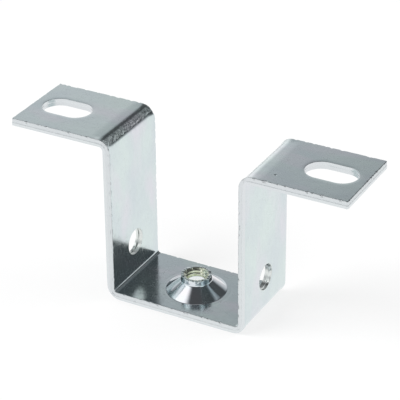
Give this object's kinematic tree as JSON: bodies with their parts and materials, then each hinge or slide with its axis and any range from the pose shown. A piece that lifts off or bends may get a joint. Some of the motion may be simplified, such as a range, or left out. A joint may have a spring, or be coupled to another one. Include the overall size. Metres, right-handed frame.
{
  "type": "din rail mounting bracket",
  "caption": "Folded steel strip bracket: slotted flanges, drilled legs and a web with a pressed cone and tapped collar that holds a DIN rail off a panel.",
  "frame": {"origin": "middle of the rail seat, the flat underside of the web, on the axis of the tapped collar", "axes": "+X along the strip, from one flange to the other; +Y across the strip; +Z from the rail seat towards the flanges"},
  "size_m": [0.1006, 0.025, 0.049],
  "materials": {
    "zinc_plated_steel": "bright zinc plating over rolled steel sheet"
  },
  "bodies": {
    "root": {"bracket": "zinc_plated_steel"}
  },
  "joints": []
}
